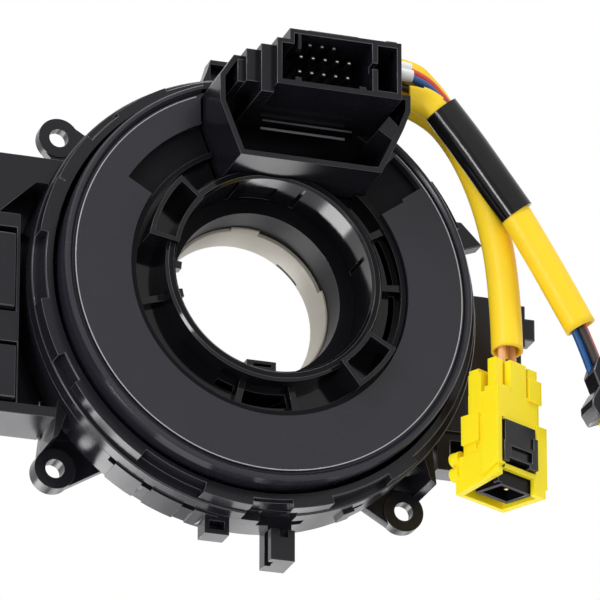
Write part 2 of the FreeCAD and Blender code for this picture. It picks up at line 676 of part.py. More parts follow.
def slab(x, y, z):
    return Part.makeBox(x[1] - x[0], y[1] - y[0], z[1] - z[0], Vector(x[0], y[0], z[0]))


LONG_Y = -7.0
LONG_ROUTE = [(20.0, LONG_Y, 41.2), (31.8, LONG_Y, 41.8), (39.6, LONG_Y, 32.6), (51.6, LONG_Y, 16.6),
              (64.0, LONG_Y, -5.1)]
SHORT_ROUTE = [(20.0, 0.2, 45.2), (33.6, 0.2, 43.2), (42.4, 0.2, 33.6), (48.4, 0.1, 18.0), (50.0, -1.2, 0.6),
               (49.7, -2.3, -10.4)]
BLOCK_SIDE = 22.2
TUB_SIDE = 26.3
tube_r = s.tube_r.number
bore_r = s.tube_bore_r.number
wire_r = s.wire_r.number
side_half = slab((0.0, BLOCK_SIDE), (-60.0, 60.0), (-90.0, 90.0))
tub_half = slab((0.0, TUB_SIDE), (-60.0, 60.0), (-90.0, 90.0))

# The long tube's top is slit open from its end to under the sleeve, and the wires lie in the slit
long_tube = tube("long_tube", LONG_ROUTE, tube_r, bore_r).cut(tub_half)
slit = Part.Face(Part.makePolygon([Vector(x, LONG_Y - 4.0, z) for x, z in (
    (20.0, 41.6), (30.6, 42.1), (33.6, 40.2), (41.0, 31.6), (48.0, 36.0), (40.0, 52.0), (20.0, 52.0),
    (20.0, 41.6))]))
node("long_tube", shaped("long_tube", long_tube.cut(slit.extrude(Vector(0, 8.0, 0)))))
node("short_tube", shaped("short_tube", tube("short_tube", SHORT_ROUTE, tube_r, bore_r).cut(side_half)))

SLEEVE_ROUTE = [(34.2, LONG_Y, 39.1), (39.6, LONG_Y, 32.6), (50.4, LONG_Y, 18.2)]
tape_outer = tube("tape_sleeve", SLEEVE_ROUTE, s.sleeve_tape_r.number)
tape_inner = tube("tape_bore", LONG_ROUTE, tube_r)
node("tape_sleeve", shaped("tape_sleeve", tape_outer.cut(tape_inner)))

# Black plug at the end of the long tube, turned to lie in line with it
PLUG_TILT = -21.7
PLUG_TOP = (66.6, LONG_Y, -13.3)
plug_halves = []
for label, points, depth in (
    ("plug_neck", ((-1.8, -1.3), (0.2, 1.1), (3.4, 1.1), (5.4, -1.3), (5.4, -7.0), (-1.8, -7.0)), 2.9),
    ("plug_body", ((-2.1, -4.9), (5.7, -4.9), (8.4, -7.1), (8.9, -8.5), (8.4, -11.2), (-4.7, -11.2),
                   (-5.2, -8.5), (-4.7, -7.1)), 3.4),
    ("plug_rail", ((-0.4, -3.0), (4.0, -3.0), (4.0, -11.2), (-0.4, -11.2)), 4.1),
):
    plug_halves.append(prism(label, points, (-depth, depth)))
plug_room = box("plug_room", (-2.4, 6.1), (-2.8, 2.8), (-12.0, -9.2))
plug_whole = cut("plug_whole", fuse("plug_solid", plug_halves), [plug_room])
plug_whole.Placement = Placement(Vector(0, 0, 0), Rotation(Vector(0, 1, 0), PLUG_TILT))
node("switch_plug", plug_whole, PLUG_TOP)
lock = box("switch_lock", (-2.4, 6.1), (-2.8, 2.8), (-14.0, -9.2))
lock_room = box("switch_lock_room", (-1.4, 5.1), (-2.2, 2.2), (-15.0, -10.2))
lock_whole = cut("lock_whole", lock, [lock_room])
lock_whole.Placement = Placement(Vector(0, 0, 0), Rotation(Vector(0, 1, 0), PLUG_TILT))
node("switch_plug_lock", lock_whole, PLUG_TOP)

# Three wires from the block side through the long tube, on to the black plug
doc.recompute()
plug_solid = plug_whole.Shape.copy()
plug_solid.translate(Vector(0, s.mount_depth.number, 0))
WIRES = (
    ("red_wire", -6.9, ((20.0, 47.8), (29.6, 47.0), (35.8, 40.9), (40.6, 33.6), (52.7, 17.4),
                        (65.0, -4.3), (69.0, -15.6))),
    ("blue_wire", -8.0, ((20.0, 45.6), (29.4, 45.0), (34.6, 39.9), (39.4, 32.5), (51.1, 15.9),
                         (63.4, -5.8), (66.6, -15.6))),
    ("dark_wire", -5.75, ((20.0, 44.2), (29.4, 43.6), (35.0, 39.4), (39.8, 32.3), (51.3, 16.6),
                          (63.8, -5.3), (67.8, -15.6))),
)
wires = []
for label, depth, way in WIRES:
    wire = tube(label, [(x, depth, z) for x, z in way], wire_r).cut(side_half).cut(plug_solid)
    wires.append(wire)
    node(label, shaped(label, wire))

# White retainer where the wires leave the block
retainer = None
for label, depth, way in WIRES[:2]:
    first = Vector(way[0][0], depth, way[0][1])
    along = Vector(way[1][0], depth, way[1][1]) - first
    piece = Part.makeCylinder(1.35, 7.6, first, along).cut(side_half)
    retainer = piece if retainer is None else retainer.fuse(piece)
for wire in wires:
    retainer = retainer.cut(wire)
node("wire_retainer", shaped("wire_retainer", retainer.removeSplitter()))

# Airbag plug, drawn square and turned about its upright axis
PLUG_TURN = 27.6
PLUG_CORNER = (44.9, -10.5, -40.35)
barrel_top = size(20.6)
w = s.plug_w
d = s.plug_d
shelf = s.plug_h - 6.8
plug_blocks = [
    box("airbag_main", (0.0, w), (0.6, d), (0.0, shelf)),
    box("airbag_middle", (-0.2, w + 0.4), (1.4, d + 1.2), (0.0, 13.8)),
    box("airbag_skirt", (-0.4, w + 1.4), (0.3, d + 3.2), (-1.6, 6.2)),
    box("airbag_rib", (-1.1, 1.2), (-0.2, 4.0), (0.2, 13.6)),
    box("airbag_wing", (-0.8, 3.0), (5.2, d + 1.3), (8.4, 14.6)),
    box("airbag_right_block", (w - 1.2, w + 2.0), (0.3, 5.4), (0.4, 13.6)),
    box("airbag_right_step", (w - 3.2, w + 0.5), (0.2, 3.2), (shelf - 0.8, shelf + 4.2)),
    box("airbag_left_fin", (0.9, 3.3), (2.0, 4.0), (shelf - 3.0, s.plug_h + 0.3)),
    box("airbag_left_step", (0.0, 3.8), (0.6, 4.2), (shelf - 1.0, shelf + 0.9)),
    box("airbag_middle_fin", (3.9, w - 3.7), (0.6, 2.6), (shelf - 1.0, s.plug_h)),
    box("airbag_right_fin", (w - 3.1, w - 0.3), (0.7, 2.6), (shelf - 1.0, s.plug_h - 0.3)),
    box("airbag_back_tower", (0.4, 7.4), (6.0, d), (shelf - 1.0, s.plug_h - 1.4)),
    box("airbag_back_step", (-0.2, 2.2), (5.0, d - 0.3), (14.0, s.plug_h - 2.6)),
    rod("airbag_knob_a", 1.5, (d + 2.2, d + 4.4), 0.3, 6.2),
    rod("airbag_knob_b", 1.5, (d + 2.2, d + 4.4), 0.3, 3.0),
]
for label, across in (("airbag_barrel_a", 5.5), ("airbag_barrel_b", 10.2)):
    barrel = fresh("Part::Cylinder", label)
    drive(barrel, "Radius", 1.75)
    drive(barrel, "Height", barrel_top - 18.0)
    set_base(barrel, across, 5.0, 18.0)
    plug_blocks.append(barrel)
airbag_solid = fuse("airbag_solid", plug_blocks)
mouth = box("airbag_mouth", (0.9, w - 0.2), (1.4, d + 2.0), (-3.0, 5.0))
mouth_front = box("airbag_mouth_front", (0.9, w - 2.0), (-1.0, 1.6), (-3.0, 1.8))
latch_room = box("airbag_latch_room", (0.3, w - 1.5), (-1.0, 3.2), (2.9, 12.5))
side_slot = box("airbag_side_slot", (-1.0, 0.2), (5.6, 6.4), (7.0, 8.2))
airbag_plug = cut("airbag_cut", airbag_solid, [mouth, mouth_front, latch_room, side_slot])
airbag_turn = Rotation(Vector(0, 0, 1), PLUG_TURN)


def airbag_node(name, item):
    item.Placement = Placement(Vector(0, 0, 0), airbag_turn)
    return node(name, item, PLUG_CORNER)


airbag_node("airbag_plug", airbag_plug)
latch_upper = box("latch_upper", (1.4, w - 1.9), (-0.1, 1.8), (7.0, 12.3))
latch_lower = box("latch_lower", (0.5, w - 2.4), (-0.7, 1.8), (3.1, 7.4))
latch_rail = box("latch_rail", (w - 3.0, w - 1.7), (-0.6, 1.8), (3.3, 10.0))
latch_dip = box("latch_dip", (2.6, w - 3.6), (-1.5, 0.1), (4.4, 6.6))
latch_notch = box("latch_notch", (2.0, w - 4.4), (-1.5, 2.5), (2.0, 3.9))
latch_solid = fuse("latch_solid", [latch_upper, latch_lower, latch_rail])
airbag_node("airbag_plug_latch", cut("latch_cut", latch_solid, [latch_dip, latch_notch]))
insert_outer = box("insert_outer", (1.9, w - 1.2), (1.6, d), (-1.2, 5.0))
insert_arm = box("insert_arm", (1.0, 1.9), (1.6, 3.0), (-0.8, 2.4))
insert_room = box("insert_room", (2.8, w - 2.1), (2.4, d - 0.9), (-2.0, 4.2))
insert_whole = fuse("insert_whole", [insert_outer, insert_arm])
insert_relief = box("insert_relief", (0.3, w - 1.5), (-1.0, 3.2), (2.9, 12.5))
airbag_node("airbag_plug_insert", cut("insert_cut", insert_whole, [insert_room, insert_relief]))
contact_blade = box("contact_blade", (6.6, 7.3), (4.4, 5.2), (-0.2, 4.2))
contact_fold = box("contact_fold", (6.2, 7.7), (4.0, 5.6), (2.0, 4.2))
airbag_node("airbag_plug_contact", fuse("contact_whole", [contact_blade, contact_fold]))

# Two wires inside the short tube, on to the airbag plug
barrel_plane = PLUG_CORNER[2] + barrel_top.number
turn = math.radians(PLUG_TURN)
for label, dx, dy, across in (("peach_wire_left", -1.3, -0.95, 5.5), ("peach_wire_right", 1.3, 0.95, 10.2)):
    end = (PLUG_CORNER[0] + across * math.cos(turn) - 5.0 * math.sin(turn),
           PLUG_CORNER[1] + across * math.sin(turn) + 5.0 * math.cos(turn), barrel_plane - 1.5)
    way = [(x + dx, y + dy, z) for x, y, z in SHORT_ROUTE] + [end]
    below = slab((0.0, 90.0), (-60.0, 60.0), (-90.0, barrel_plane))
    wire = tube(label, way, wire_r).cut(side_half).cut(below)
    node(label, shaped(label, wire))

failed = False
doc.recompute()
for name, item in nodes:
    shape = item.Shape
    solids = len(shape.Solids)
    state = [w for w in item.State if w in ("Invalid", "Error")]
    if state or shape.isNull() or not shape.isValid() or solids == 0:
        failed = True
    print("%-20s solids %d volume %.1f valid %s %s" % (name, solids, shape.Volume, shape.isValid(), state))
for item in doc.Objects:
    if "Invalid" in item.State or "Error" in item.State:
        print("not computed:", item.Name, item.State)
        failed = True
if failed:
    raise RuntimeError("a piece is missing or not valid")
os.makedirs("parts", exist_ok=True)
for name, item in nodes:
    item.Shape.exportStep("parts/%s.step" % name)
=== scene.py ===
import bpy
import bmesh
import json
import math
from mathutils import Matrix, Vector


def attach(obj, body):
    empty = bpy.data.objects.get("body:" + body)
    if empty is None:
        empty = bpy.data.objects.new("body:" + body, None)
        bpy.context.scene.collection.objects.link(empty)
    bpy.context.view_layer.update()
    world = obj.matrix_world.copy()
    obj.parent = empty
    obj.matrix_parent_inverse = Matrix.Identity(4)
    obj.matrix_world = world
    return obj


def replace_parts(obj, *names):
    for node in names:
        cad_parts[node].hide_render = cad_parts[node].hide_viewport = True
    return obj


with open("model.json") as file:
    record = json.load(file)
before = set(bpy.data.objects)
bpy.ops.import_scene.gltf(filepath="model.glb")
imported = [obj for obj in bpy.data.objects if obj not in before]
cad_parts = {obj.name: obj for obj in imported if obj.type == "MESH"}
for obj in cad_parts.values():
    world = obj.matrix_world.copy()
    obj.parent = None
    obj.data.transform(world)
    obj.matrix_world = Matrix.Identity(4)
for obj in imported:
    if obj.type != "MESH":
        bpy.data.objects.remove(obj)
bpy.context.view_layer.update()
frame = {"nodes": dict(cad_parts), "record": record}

# Steering clock spring. Lengths are in millimetres from the rotor's face, with X to the right,
# Y away from the steering wheel and Z up. The frame's own origin lies on the screw plane.
FACE = 28.6
MM = 0.001


def at(x, y, z):
    """A point drawn in millimetres from the face, in the frame's metres."""
    return Vector((x * MM, (y - FACE) * MM, z * MM))


# Camera, lamps and floor
CAMERA_PLACE = Vector((-0.351759, -1.085790, -0.463543))
CAMERA_RIGHT = Vector((0.947183, -0.320693, 0.0))
CAMERA_UP = Vector((-0.122118, -0.360683, 0.924659))
CAMERA_BACK = Vector((-0.296532, -0.875822, -0.380795))
SENSOR = 36.0
LENS = 360.0
ROOM_COLOUR = (0.96, 0.97, 1.0, 1.0)
ROOM_STRENGTH = 0.62
WHITE = (1.0, 1.0, 1.0, 1.0)
FLOOR_COLOUR = (0.86, 0.86, 0.87, 1.0)
FLOOR_Z = -0.62
FLOOR_HALF = 2.5

camera_data = bpy.data.cameras.new("camera")
camera_data.sensor_width = SENSOR
camera_data.lens = LENS
camera_data.clip_end = 20.0
camera = bpy.data.objects.new("camera", camera_data)
camera_turn = Matrix((CAMERA_RIGHT, CAMERA_UP, CAMERA_BACK)).transposed().to_4x4()
camera.matrix_world = Matrix.Translation(CAMERA_PLACE) @ camera_turn
bpy.context.scene.collection.objects.link(camera)
bpy.context.scene.camera = camera
bpy.context.scene.view_settings.view_transform = "Standard"


def lamp(name, place, size, power):
    """A soft rectangular lamp that looks at the part."""
    data = bpy.data.lights.new(name, "AREA")
    data.shape = "RECTANGLE"
    data.size = size[0]
    data.size_y = size[1]
    data.energy = power
    item = bpy.data.objects.new(name, data)
    item.location = place
    item.rotation_euler = (-Vector(place)).to_track_quat("-Z", "Y").to_euler()
    bpy.context.scene.collection.objects.link(item)


lamp("window_left", (-0.95, -0.85, 0.75), (0.36, 0.36), 5.6)
lamp("window_above", (0.2, -0.5, 1.25), (0.55, 0.2), 4.6)
lamp("strip_right", (1.15, -0.65, 0.35), (0.14, 0.5), 2.8)
lamp("behind_low", (-0.35, 1.05, -0.36), (0.75, 0.3), 4.5)
lamp("behind_right", (0.36, 1.05, -0.4), (0.42, 0.3), 0.9)
lamp("strip_below", (-0.95, -0.55, -0.46), (0.2, 0.26), 3.6)


def nodes_of(material):
    """A material's node tree and its shader."""
    material.use_nodes = True
    tree = material.node_tree
    return tree, tree.nodes["Principled BSDF"]


def math_node(tree, operation, first, second):
    """A sum on two values, each a number or a socket."""
    item = tree.nodes.new("ShaderNodeMath")
    item.operation = operation
    for place, value in enumerate((first, second)):
        if isinstance(value, (int, float)):
            item.inputs[place].default_value = value
        else:
            tree.links.new(value, item.inputs[place])
    return item.outputs[0]


def background():
    """White to the eye and in reflections, a softer room for the light itself."""
    world = bpy.data.worlds.new("studio")
    bpy.context.scene.world = world
    world.use_nodes = True
    tree = world.node_tree
    tree.nodes.clear()
    path = tree.nodes.new("ShaderNodeLightPath").outputs
    seen = math_node(tree, "MAXIMUM", path["Is Camera Ray"], path["Is Glossy Ray"])
    seen = math_node(tree, "MAXIMUM", seen, path["Is Transmission Ray"])
    mix = tree.nodes.new("ShaderNodeMixShader")
    tree.links.new(seen, mix.inputs[0])
    for place, colour, strength in ((1, ROOM_COLOUR, ROOM_STRENGTH), (2, WHITE, 1.0)):
        light = tree.nodes.new("ShaderNodeBackground")
        light.inputs["Color"].default_value = colour
        light.inputs["Strength"].default_value = strength
        tree.links.new(light.outputs[0], mix.inputs[place])
    end = tree.nodes.new("ShaderNodeOutputWorld")
    tree.links.new(mix.outputs[0], end.inputs["Surface"])


def pale_floor():
    """A pale floor well below the part."""
    mesh = bpy.data.meshes.new("floor")
    bm = bmesh.new()
    bmesh.ops.create_grid(bm, x_segments=1, y_segments=1, size=FLOOR_HALF)
    bmesh.ops.translate(bm, verts=bm.verts, vec=(0.0, 0.0, FLOOR_Z))
    bm.to_mesh(mesh)
    bm.free()
    floor = bpy.data.objects.new("floor", mesh)
    bpy.context.scene.collection.objects.link(floor)
    paint = bpy.data.materials.new("pale_floor")
    shader = nodes_of(paint)[1]
    shader.inputs["Base Color"].default_value = FLOOR_COLOUR
    shader.inputs["Roughness"].default_value = 0.7
    mesh.materials.append(paint)


background()
pale_floor()


# Finishes. Smudges and scratches have a scale each, and a range of noise over which they fade in
GRAIN_DEPTH = 0.00012
COARSE_SCALE = 0.06
FINE_SHARE = 0.45
SMUDGE_SCALE = 65.0
SMUDGE_RANGE = (0.42, 0.72)
SCRATCH_SCALE = (900.0, 60.0, 240.0)
SCRATCH_TURN = (0.5, 0.9, 0.4)
SCRATCH_RANGE = (0.66, 0.74)
SCRATCH_SHARE = 0.6


def new_group(name, inputs, outputs):
    """An empty node group with its sockets, and its two end nodes."""
    group = bpy.data.node_groups.new(name, "ShaderNodeTree")
    for label, kind, value in inputs:
        socket = group.interface.new_socket(label, in_out="INPUT", socket_type=kind)
        if value is not None:
            socket.default_value = value
    for label, kind in outputs:
        group.interface.new_socket(label, in_out="OUTPUT", socket_type=kind)
    return group, group.nodes.new("NodeGroupInput"), group.nodes.new("NodeGroupOutput")


def noise(tree, vector, scale, detail, rough=0.6):
    """Noise at a scale, which is a number or a socket."""
    item = tree.nodes.new("ShaderNodeTexNoise")
    item.inputs["Detail"].default_value = detail
    item.inputs["Roughness"].default_value = rough
    if isinstance(scale, (int, float)):
        item.inputs["Scale"].default_value = scale
    else:
        tree.links.new(scale, item.inputs["Scale"])
    tree.links.new(vector, item.inputs["Vector"])
    return item.outputs["Fac"]


def ramp(tree, value, low, high):
    """A value stretched from between two limits to 0 to 1."""
    item = tree.nodes.new("ShaderNodeMapRange")
    item.inputs["From Min"].default_value = low
    item.inputs["From Max"].default_value = high
    tree.links.new(value, item.inputs["Value"])
    return item.outputs["Result"]


def grain_group():
    """Fine spark-eroded grain with broad unevenness, as a height."""
    group, inside, out = new_group(
        "mould_grain",
        (("Vector", "NodeSocketVector", None), ("Scale", "NodeSocketFloat", 3000.0)),
        (("Height", "NodeSocketFloat"),))
    place = inside.outputs["Vector"]
    scale = inside.outputs["Scale"]
    fine = noise(group, place, scale, 3.0)
    coarse = noise(group, place, math_node(group, "MULTIPLY", scale, COARSE_SCALE), 2.0)
    total = math_node(group, "ADD", math_node(group, "MULTIPLY", fine, FINE_SHARE), coarse)
    group.links.new(total, out.inputs["Height"])
    return group


def rub_group():
    """Soft smudges and short fine scratches, as a mask from 0 to 1."""
    group, inside, out = new_group(
        "handling_marks",
        (("Vector", "NodeSocketVector", None), ("Amount", "NodeSocketFloat", 0.5)),
        (("Mask", "NodeSocketFloat"),))
    smudges = ramp(group, noise(group, inside.outputs["Vector"], SMUDGE_SCALE, 5.0, 0.62), *SMUDGE_RANGE)
    stretch = group.nodes.new("ShaderNodeMapping")
    stretch.inputs["Scale"].default_value = SCRATCH_SCALE
    stretch.inputs["Rotation"].default_value = SCRATCH_TURN
    group.links.new(inside.outputs["Vector"], stretch.inputs["Vector"])
    lines = ramp(group, noise(group, stretch.outputs["Vector"], 1.0, 2.0, 0.5), *SCRATCH_RANGE)
    total = math_node(group, "ADD", smudges, math_node(group, "MULTIPLY", lines, SCRATCH_SHARE))
    group.links.new(math_node(group, "MULTIPLY", total, inside.outputs["Amount"]), out.inputs["Mask"])
    return group


GRAIN = grain_group()
RUB = rub_group()


def use_group(tree, group, **values):
    """A group's output, with its inputs set to numbers or linked."""
    item = tree.nodes.new("ShaderNodeGroup")
    item.node_tree = group
    for label, value in values.items():
        if isinstance(value, (int, float)):
            item.inputs[label].default_value = value
        else:
            tree.links.new(value, item.inputs[label])
    return item.outputs[0]


def mixed_colour(tree, factor, first, second):
    """A blend of two colours by a mask."""
    item = tree.nodes.new("ShaderNodeMix")
    item.data_type = "RGBA"
    tree.links.new(factor, item.inputs["Factor"])
    item.inputs["A"].default_value = first + (1.0,)
    item.inputs["B"].default_value = second + (1.0,)
    return item.outputs["Result"]


def gloss(tree, shader, mask, clean, worn):
    """Roughness that follows a mask between two values."""
    spread = tree.nodes.new("ShaderNodeMapRange")
    spread.inputs["To Min"].default_value = clean
    spread.inputs["To Max"].default_value = worn
    tree.links.new(mask, spread.inputs["Value"])
    tree.links.new(spread.outputs["Result"], shader.inputs["Roughness"])


def moulded(name, colour, worn, rough, rough_worn, scale, bump, marks=0.5, shine=0.5):
    """Injection-moulded plastic: grain in the surface, smudges in colour and gloss."""
    material = bpy.data.materials.new(name)
    tree, shader = nodes_of(material)
    place = tree.nodes.new("ShaderNodeTexCoord").outputs["Object"]
    mask = use_group(tree, RUB, Vector=place, Amount=marks)
    tree.links.new(mixed_colour(tree, mask, colour, worn), shader.inputs["Base Color"])
    gloss(tree, shader, mask, rough, rough_worn)
    relief = tree.nodes.new("ShaderNodeBump")
    relief.inputs["Strength"].default_value = bump
    relief.inputs["Distance"].default_value = GRAIN_DEPTH
    tree.links.new(use_group(tree, GRAIN, Vector=place, Scale=scale), relief.inputs["Height"])
    tree.links.new(relief.outputs["Normal"], shader.inputs["Normal"])
    shader.inputs["Specular IOR Level"].default_value = shine
    return material


def metal(name, colour, rough):
    """Plain metal with duller smudges."""
    material = bpy.data.materials.new(name)
    tree, shader = nodes_of(material)
    place = tree.nodes.new("ShaderNodeTexCoord").outputs["Object"]
    mask = use_group(tree, RUB, Vector=place, Amount=0.6)
    dull = tuple(value * 0.75 for value in colour)
    tree.links.new(mixed_colour(tree, mask, colour, dull), shader.inputs["Base Color"])
    shader.inputs["Metallic"].default_value = 1.0
    gloss(tree, shader, mask, rough, rough + 0.2)
    return material


def translucent(material, weight, radius, depth):
    """Light that sinks a little way into the plastic and comes out warmer."""
    shader = nodes_of(material)[1]
    shader.inputs["Subsurface Weight"].default_value = weight
    shader.inputs["Subsurface Radius"].default_value = radius
    shader.inputs["Subsurface Scale"].default_value = depth


# Plastics: colour, worn colour, roughness clean and worn, grain scale, grain height, marks, shine
PLASTICS = {
    "grey_satin": ((0.0165, 0.0155, 0.0215), (0.022, 0.021, 0.027), 0.27, 0.36, 3200.0, 0.1, 0.5, 0.36),
    "black_satin": ((0.0125, 0.0115, 0.0152), (0.019, 0.018, 0.0225), 0.22, 0.34, 2600.0, 0.04, 0.5, 0.25),
    "deep_satin": ((0.0075, 0.0068, 0.0095), (0.014, 0.013, 0.0165), 0.2, 0.32, 2600.0, 0.03, 0.5, 0.25),
    "black_gloss": ((0.003, 0.0028, 0.004), (0.007, 0.0065, 0.009), 0.09, 0.17, 2200.0, 0.06, 0.5, 0.3),
    "cream_plastic": ((0.56, 0.51, 0.42), (0.68, 0.64, 0.56), 0.4, 0.5, 2400.0, 0.15),
    "yellow_tube": ((1.0, 0.68, 0.022), (1.0, 0.73, 0.05), 0.4, 0.48, 1500.0, 0.08, 0.4, 0.3),
    "yellow_plastic": ((1.0, 0.765, 0.016), (1.0, 0.80, 0.04), 0.3, 0.4, 2200.0, 0.05, 0.3, 0.18),
    "shrink_black": ((0.004, 0.004, 0.0045), (0.014, 0.014, 0.015), 0.13, 0.24, 420.0, 0.5, 0.5, 0.3),
    "wire_red": ((0.66, 0.05, 0.03), (0.75, 0.10, 0.06), 0.35, 0.45, 1500.0, 0.08),
    "wire_blue": ((0.004, 0.075, 0.26), (0.01, 0.10, 0.32), 0.35, 0.45, 1500.0, 0.08),
    "wire_dark": ((0.030, 0.020, 0.018), (0.05, 0.04, 0.035), 0.35, 0.45, 1500.0, 0.08),
    "wire_peach": ((0.90, 0.45, 0.20), (0.95, 0.52, 0.26), 0.38, 0.48, 1500.0, 0.08),
    "white_plastic": ((0.82, 0.82, 0.80), (0.88, 0.88, 0.86), 0.4, 0.5, 1500.0, 0.1),
    "neck_dull": ((0.004, 0.0038, 0.005), (0.007, 0.0065, 0.009), 0.42, 0.5, 2200.0, 0.05, 0.5, 0.1),
    "ribbon": ((0.012, 0.011, 0.013), (0.02, 0.019, 0.021), 0.4, 0.5, 1500.0, 0.05, 0.5, 0.2),
    # Painted highlights: light colours for the bright lines along edges and ridges, not the plastic's own
    # colour
    "line_highlight": ((0.36, 0.35, 0.37), (0.42, 0.41, 0.43), 0.2, 0.3, 2600.0, 0.05),
    "grey_edge_highlight": ((0.110, 0.108, 0.118), (0.150, 0.147, 0.158), 0.2, 0.3, 2600.0, 0.05),
    "satin_edge_highlight": ((0.070, 0.067, 0.076), (0.100, 0.097, 0.106), 0.2, 0.3, 2600.0, 0.05),
    "gloss_edge_highlight": ((0.085, 0.082, 0.090), (0.130, 0.127, 0.136), 0.16, 0.26, 2600.0, 0.05),
}
# Metals: colour, roughness
METALS = {
    "pin_metal": ((0.80, 0.78, 0.74), 0.22),
    # The pins' sides: their metal darkened as painted shade
    "pin_side": ((0.05, 0.048, 0.045), 0.4),
    "brass_metal": ((0.75, 0.52, 0.20), 0.25),
}
FINISH = {name: moulded(name, *look) for name, look in PLASTICS.items()}
FINISH.update({name: metal(name, *look) for name, look in METALS.items()})
translucent(FINISH["yellow_plastic"], 0.3, (1.0, 0.5, 0.05), 0.003)

# The painted highlight along the rounded edges: a lighter colour for the rounding, by the slot that it goes
# with
EDGE_HIGHLIGHT = {"grey_satin": "grey_edge_highlight", "black_satin": "satin_edge_highlight", "black_gloss": "gloss_edge_highlight"}

# The tub, its socket and the plugs' black pieces are darker than the case
LOOK = dict.fromkeys(("connector_tub", "pin_shroud", "airbag_plug_latch", "switch_plug"), "deep_satin")
LOOK["airbag_plug_insert"] = "neck_dull"

SLOT = {}
for entry in frame["record"]["subparts"]:
    SLOT[entry["node"]] = entry["material_slot"]
BODY = {}
for body, members in frame["record"]["behaviour"]["bodies"].items():
    for member in members:
        BODY[member] = body

# Pieces: how near two points are merged, and the angles up to which faces are joined as flat,
# edges stay unrounded, and round pieces are shaded softly
TOUCH = 0.000004
FLAT = math.radians(0.6)
SHARP = math.radians(32.0)
SOFT_ANGLE = 60.0


def piece(name, bm, body, slot, smooth=30.0):
    """A finished piece from a bmesh, with soft shading up to a set angle."""
    limit = math.radians(smooth)
    for edge in bm.edges:
        if len(edge.link_faces) == 2:
            edge.smooth = edge.calc_face_angle(0.0) < limit
    for face in bm.faces:
        face.smooth = True
    mesh = bpy.data.meshes.new(name)
    bm.to_mesh(mesh)
    bm.free()
    item = bpy.data.objects.new(name, mesh)
    bpy.context.scene.collection.objects.link(item)
    mesh.materials.append(FINISH[slot])
    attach(item, body)
    return item


def rounded(item, width):
    """Round off the outer edges of a piece, and give the rounding the lighter colour of its second slot, a
    painted highlight.
    """
    bevel = item.modifiers.new("rounding", "BEVEL")
    bevel.width = width * MM
    bevel.segments = 2
    bevel.limit_method = "WEIGHT"
    bevel.use_clamp_overlap = True
    if len(item.data.materials) > 1:
        bevel.material = 1


def dressed(node, width):
    """A merged copy of a CAD node with rounded edges, in its place."""
    bm = bmesh.new()
    bm.from_mesh(frame["nodes"][node].data)
    bmesh.ops.remove_doubles(bm, verts=bm.verts, dist=TOUCH)
    bmesh.ops.dissolve_limit(bm, angle_limit=FLAT, verts=bm.verts, edges=bm.edges)
    weight = bm.edges.layers.float.new("bevel_weight_edge")
    for edge in bm.edges:
        if edge.is_convex and edge.calc_face_angle(0.0) > SHARP:
            edge[weight] = 1.0
    item = piece(node + "_moulding", bm, BODY[node], SLOT[node])
    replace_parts(item, node)
    if node in LOOK:
        item.data.materials[0] = FINISH[LOOK[node]]
    if SLOT[node] in EDGE_HIGHLIGHT:
        item.data.materials.append(FINISH[EDGE_HIGHLIGHT[SLOT[node]]])
    if width > 0.0:
        rounded(item, width)
    return item


# Cords
TUBE_R = 3.25
TUBE_BORE_R = 2.7
WIRE_R = 0.85


def cord_curve(name, points, radius):
    """A round cord along a soft line through its two ends, or a bare line at radius 0."""
    curve = bpy.data.curves.new(name, "CURVE")
    curve.dimensions = "3D"
    curve.resolution_u = 24
    curve.bevel_depth = radius * MM
    curve.bevel_resolution = 6
    curve.use_fill_caps = True
    spline = curve.splines.new("NURBS")
    spline.points.add(len(points) - 1)
    for point, place in zip(spline.points, points):
        point.co = at(*place).to_4d()
    spline.order_u = 3
    spline.use_endpoint_u = True
    item = bpy.data.objects.new(name, curve)
    bpy.context.scene.collection.objects.link(item)
    return item


def spline_line(name, points):
    """Points read along a route's spline."""
    item = cord_curve(name + "_line", points, 0.0)
    mesh = bpy.data.meshes.new_from_object(item)
    line = [vertex.co.copy() for vertex in mesh.vertices]
    bpy.data.objects.remove(item)
    bpy.data.meshes.remove(mesh)
    return line


def sleeving(name, points, opened=None):
    """A hollow yellow tube along a route, cut away where opened says so, and its line."""
    line = spline_line(name, points)
    bm = bmesh.new()
    rings = []
    for index, here in enumerate(line):
        before = line[max(index - 1, 0)]
        after = line[min(index + 1, len(line) - 1)]
        way = (after - before).normalized()
        side = way.cross(Vector((0.0, 1.0, 0.0))).normalized()
        front = side.cross(way).normalized()
        ring = bmesh.ops.create_circle(bm, segments=40, radius=TUBE_R * MM)["verts"]
        basis = Matrix((side, front, way)).transposed().to_4x4()
        bmesh.ops.transform(bm, matrix=Matrix.Translation(here) @ basis, verts=ring)
        edges = list({edge for vert in ring for edge in vert.link_edges})
        if rings:
            bmesh.ops.bridge_loops(bm, edges=rings[-1] + edges)
        rings.append(edges)
    if opened:
        gone = [face for face in bm.faces if opened(face.calc_center_median())]
        bmesh.ops.delete(bm, geom=gone, context="FACES")
    bmesh.ops.recalc_face_normals(bm, faces=bm.faces)
    item = piece(name, bm, "rotor", "yellow_tube", SOFT_ANGLE)
    wall = item.modifiers.new("wall", "SOLIDIFY")
    wall.thickness = (TUBE_R - TUBE_BORE_R) * MM
    wall.offset = -1.0
    return item, line


